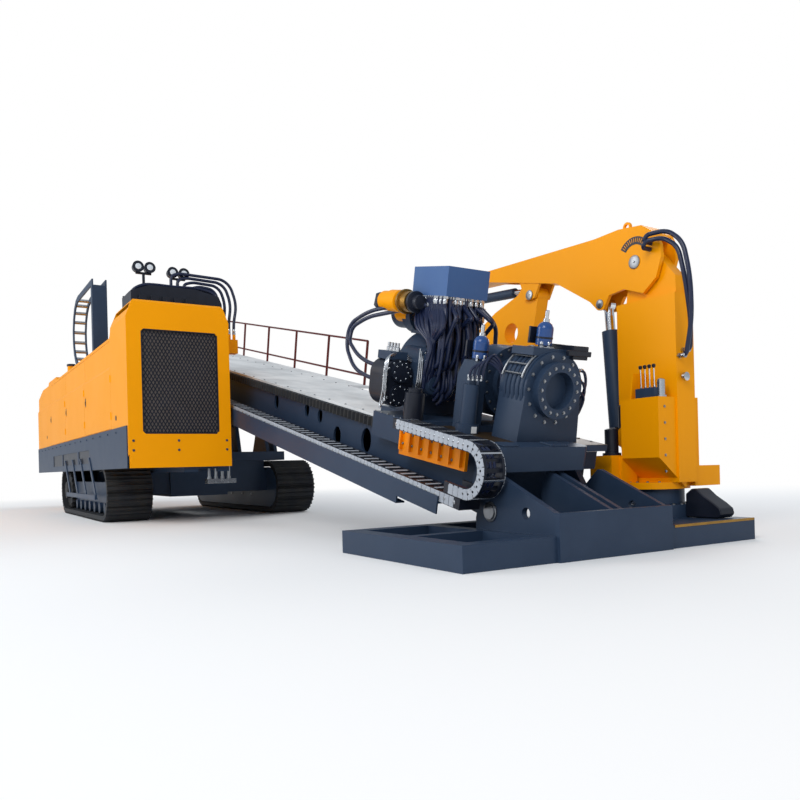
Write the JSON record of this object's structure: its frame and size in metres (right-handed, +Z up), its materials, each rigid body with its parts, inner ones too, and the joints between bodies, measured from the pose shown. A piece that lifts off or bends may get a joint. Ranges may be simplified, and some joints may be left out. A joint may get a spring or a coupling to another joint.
{
  "type": "horizontal directional drill",
  "caption": "Crawler-mounted horizontal directional drill with engine house, tilting drill frame, power head, pipe vises, ground anchor and pipe-handling crane",
  "frame": {"origin": "centre of the bounding box's bottom, on the ground", "axes": "+X forward from the engine house towards the ground anchor, +Y towards the crane's side, +Z up"},
  "size_m": [14.85, 4.104, 4.1883],
  "materials": {
    "signal_yellow_paint": "semi_gloss",
    "orange_paint": "semi_gloss",
    "slate_blue_paint": "satin",
    "slate_box_paint": "satin",
    "track_steel": "matte",
    "black_paint": "satin",
    "cast_iron_grey": "matte",
    "grey_plastic": "matte",
    "hose_rubber": "matte",
    "chrome_rod": "polished",
    "white_deck": "matte",
    "red_paint": "satin",
    "bare_steel": "machined",
    "accumulator_blue": "gloss"
  },
  "bodies": {
    "chassis": {"chassis_frame": "slate_blue_paint", "crawler_belt_near": "track_steel", "crawler_belt_far": "track_steel", "crawler_frames": "slate_blue_paint", "engine_house": "signal_yellow_paint", "lower_band": "slate_blue_paint", "radiator_grille": "black_paint", "engine": "cast_iron_grey", "hose_gantry": "black_paint", "roof_chain": "grey_plastic", "gantry_hoses": "hose_rubber"},
    "sprocket_near": {"drive_sprocket_near": "track_steel"},
    "sprocket_far": {"drive_sprocket_far": "track_steel"},
    "front_door": {"door_front": "signal_yellow_paint"},
    "middle_door": {"door_middle": "signal_yellow_paint"},
    "rear_door": {"door_rear": "signal_yellow_paint"},
    "lift_barrels": {"frame_lift_barrels": "slate_blue_paint"},
    "lift_rods": {"frame_lift_rods": "chrome_rod"},
    "drill_frame": {"main_girder": "slate_blue_paint", "deck_plates": "white_deck", "feed_rack": "track_steel", "chain_lower_run": "grey_plastic", "railing": "red_paint"},
    "power_head": {"carriage": "slate_blue_paint", "chain_bracket": "orange_paint", "gearbox": "slate_blue_paint", "drive_motors": "black_paint", "valve_box": "slate_box_paint", "head_hoses": "hose_rubber", "chain_loop": "grey_plastic"},
    "spindle": {"spindle": "bare_steel"},
    "vise_slide": {"vise_base": "slate_blue_paint", "front_vise": "slate_blue_paint", "accumulators": "accumulator_blue"},
    "rotary_vise": {"rotary_vise": "slate_blue_paint"},
    "anchor": {"anchor_base": "slate_blue_paint"},
    "crane": {"crane_column": "signal_yellow_paint", "crane_hoses": "hose_rubber"},
    "boom": {"boom": "signal_yellow_paint"},
    "boom_lift_barrel": {"boom_lift_barrel": "slate_blue_paint"},
    "boom_lift_rod": {"boom_lift_rod": "chrome_rod"},
    "jib": {"jib": "signal_yellow_paint"},
    "jib_barrel": {"jib_barrel": "slate_blue_paint"},
    "jib_rod": {"jib_rod": "chrome_rod"},
    "gripper_jaw": {"gripper_jaw": "orange_paint"}
  },
  "joints": [
    {"name": "sprocket_near_turn", "type": "hinge", "parent": "chassis", "child": "sprocket_near", "pos_m": [-3.84, -1.653, 0.425], "axis": [0, 1, 0], "continuous": true},
    {"name": "sprocket_far_turn", "type": "hinge", "parent": "chassis", "child": "sprocket_far", "pos_m": [-3.84, 0.917, 0.425], "axis": [0, 1, 0], "continuous": true},
    {"name": "front_door_open", "type": "hinge", "parent": "chassis", "child": "front_door", "pos_m": [0.619, -1.988, 1.9], "axis": [0, 0, 1], "range_deg": [0, 100]},
    {"name": "middle_door_open", "type": "hinge", "parent": "chassis", "child": "middle_door", "pos_m": [-1.451, -1.988, 1.9], "axis": [0, 0, 1], "range_deg": [0, 100]},
    {"name": "rear_door_open", "type": "hinge", "parent": "chassis", "child": "rear_door", "pos_m": [-3.451, -1.988, 1.9], "axis": [0, 0, 1], "range_deg": [0, 100]},
    {"name": "frame_tilt", "type": "hinge", "parent": "chassis", "child": "drill_frame", "pos_m": [-0.565, 0.377, 1.5], "axis": [0, -1, 0], "range_deg": [0, 12.5]},
    {"name": "lift_barrel_swing", "type": "hinge", "parent": "chassis", "child": "lift_barrels", "pos_m": [-2.715, 0.267, 0.62], "axis": [0, 1, 0], "range_deg": [-3.86, 0]},
    {"name": "lift_rod_slide", "type": "slide", "parent": "lift_barrels", "child": "lift_rods", "axis": [0.0339, 0, 0.9994], "range_m": [-0.46816, 0]},
    {"name": "carriage_travel", "type": "slide", "parent": "drill_frame", "child": "power_head", "axis": [-0.9755, 0, 0.2202], "range_m": [0, 10.8]},
    {"name": "spindle_turn", "type": "hinge", "parent": "power_head", "child": "spindle", "pos_m": [5.2033, 0.377, 1.62392], "axis": [0.9755, 0, -0.2202], "continuous": true},
    {"name": "vise_travel", "type": "slide", "parent": "drill_frame", "child": "vise_slide", "axis": [-0.9755, 0, 0.2202], "range_m": [0, 0.06]},
    {"name": "vise_break", "type": "hinge", "parent": "vise_slide", "child": "rotary_vise", "pos_m": [5.96415, 0.377, 1.45217], "axis": [0.9755, 0, -0.2202], "range_deg": [-17, 17]},
    {"name": "anchor_tilt", "type": "hinge", "parent": "drill_frame", "child": "anchor", "pos_m": [6.655, 0.232, 0.33], "axis": [0, 1, 0], "range_deg": [-3, 15]},
    {"name": "crane_slew", "type": "hinge", "parent": "anchor", "child": "crane", "pos_m": [6.655, 1.582, 0.45], "axis": [0, 0, 1], "range_deg": [-180, 0]},
    {"name": "boom_lift", "type": "hinge", "parent": "crane", "child": "boom", "pos_m": [6.571, 1.582, 2.519], "axis": [0, 1, 0], "range_deg": [-8, 45]},
    {"name": "boom_barrel_swing", "type": "hinge", "parent": "crane", "child": "boom_lift_barrel", "pos_m": [6.225, 1.582, 0.93], "axis": [0, 1, 0], "range_deg": [-3.64, 0.66]},
    {"name": "boom_rod_slide", "type": "slide", "parent": "boom_lift_barrel", "child": "boom_lift_rod", "axis": [-0.0659, 0, 0.9978], "range_m": [-0.07069, 0.39533]},
    {"name": "jib_fold", "type": "hinge", "parent": "boom", "child": "jib", "pos_m": [5.132, 1.582, 2.514], "axis": [0, 1, 0], "range_deg": [-25, 30]},
    {"name": "jib_barrel_swing", "type": "hinge", "parent": "boom", "child": "jib_barrel", "pos_m": [3.865, 1.582, 2.7], "axis": [0, 1, 0], "range_deg": [-2.59, 2.16]},
    {"name": "jib_rod_slide", "type": "slide", "parent": "jib_barrel", "child": "jib_rod", "axis": [0.9963, 0, -0.0855], "range_m": [-0.03623, 0.04337]},
    {"name": "gripper_close", "type": "hinge", "parent": "jib", "child": "gripper_jaw", "pos_m": [4.255, 1.582, 1.95], "axis": [0, 1, 0], "range_deg": [0, 20]}
  ],
  "couplings": [
    {"joint": "lift_barrel_swing", "follows": "frame_tilt", "ratio": -0.30712},
    {"joint": "lift_rod_slide", "follows": "frame_tilt", "m_per_rad": -2.1436},
    {"joint": "boom_barrel_swing", "follows": "boom_lift", "ratio": -0.08043},
    {"joint": "boom_rod_slide", "follows": "boom_lift", "m_per_rad": 0.50272},
    {"joint": "jib_barrel_swing", "follows": "jib_fold", "ratio": -0.08566},
    {"joint": "jib_rod_slide", "follows": "jib_fold", "m_per_rad": 0.08188}
  ]
}
